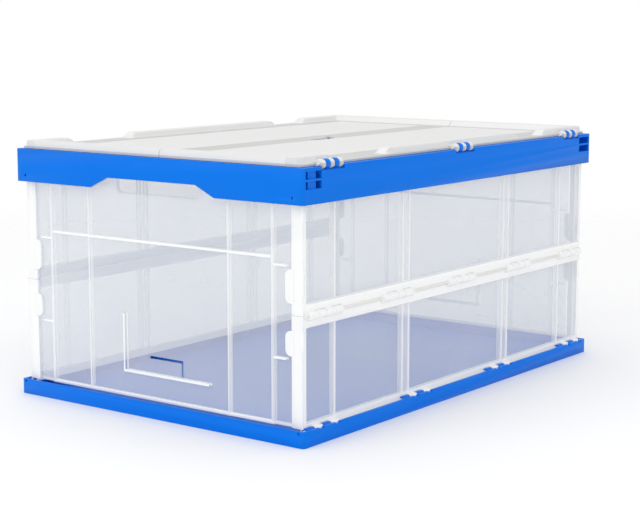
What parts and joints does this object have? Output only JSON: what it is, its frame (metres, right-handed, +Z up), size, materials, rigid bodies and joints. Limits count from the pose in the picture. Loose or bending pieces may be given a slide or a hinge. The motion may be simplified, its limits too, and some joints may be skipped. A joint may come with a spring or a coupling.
{
  "type": "collapsible storage crate",
  "caption": "Folding rectangular crate with clear hinged walls, a coloured base tray and top frame, and a two-leaf lid that meets on a stepped seam.",
  "frame": {"origin": "on the floor, below the middle of the crate", "axes": "+X along the long sides, +Y across, +Z up"},
  "size_m": [0.6, 0.412, 0.2935],
  "materials": {
    "blue_plastic": "moulded polypropylene, satin gloss",
    "clear_plastic": "translucent moulded polypropylene",
    "lid_plastic": "milky translucent moulded polypropylene",
    "pin_plastic": "natural white nylon rod"
  },
  "bodies": {
    "carcass": {"base_tray": "blue_plastic", "top_frame": "blue_plastic", "upper_side_panel_left": "clear_plastic", "lower_side_panel_left": "clear_plastic", "mid_hinge_rod_left": "pin_plastic", "base_hinge_rod_left": "pin_plastic", "frame_hinge_rod_left": "pin_plastic", "lid_hinge_pins_left": "pin_plastic", "upper_side_panel_right": "clear_plastic", "lower_side_panel_right": "clear_plastic", "mid_hinge_rod_right": "pin_plastic", "base_hinge_rod_right": "pin_plastic", "frame_hinge_rod_right": "pin_plastic", "lid_hinge_pins_right": "pin_plastic", "end_hinge_rod_front": "pin_plastic", "end_hinge_rod_back": "pin_plastic"},
    "lid_left": {"lid_leaf_left": "lid_plastic"},
    "lid_right": {"lid_leaf_right": "lid_plastic"},
    "end_front": {"end_panel_front": "clear_plastic"},
    "end_back": {"end_panel_back": "clear_plastic"}
  },
  "joints": [
    {"name": "lid_left_hinge", "type": "hinge", "parent": "carcass", "child": "lid_left", "pos_m": [0, 0.2006, 0.2857], "axis": [-1, 0, 0], "range_deg": [0, 180]},
    {"name": "lid_right_hinge", "type": "hinge", "parent": "carcass", "child": "lid_right", "pos_m": [0, -0.2006, 0.2857], "axis": [1, 0, 0], "range_deg": [0, 180]},
    {"name": "end_front_hinge", "type": "hinge", "parent": "carcass", "child": "end_front", "pos_m": [-0.283, 0, 0.27], "axis": [0, -1, 0], "range_deg": [0, 88]},
    {"name": "end_back_hinge", "type": "hinge", "parent": "carcass", "child": "end_back", "pos_m": [0.283, 0, 0.27], "axis": [0, 1, 0], "range_deg": [0, 88]}
  ]
}
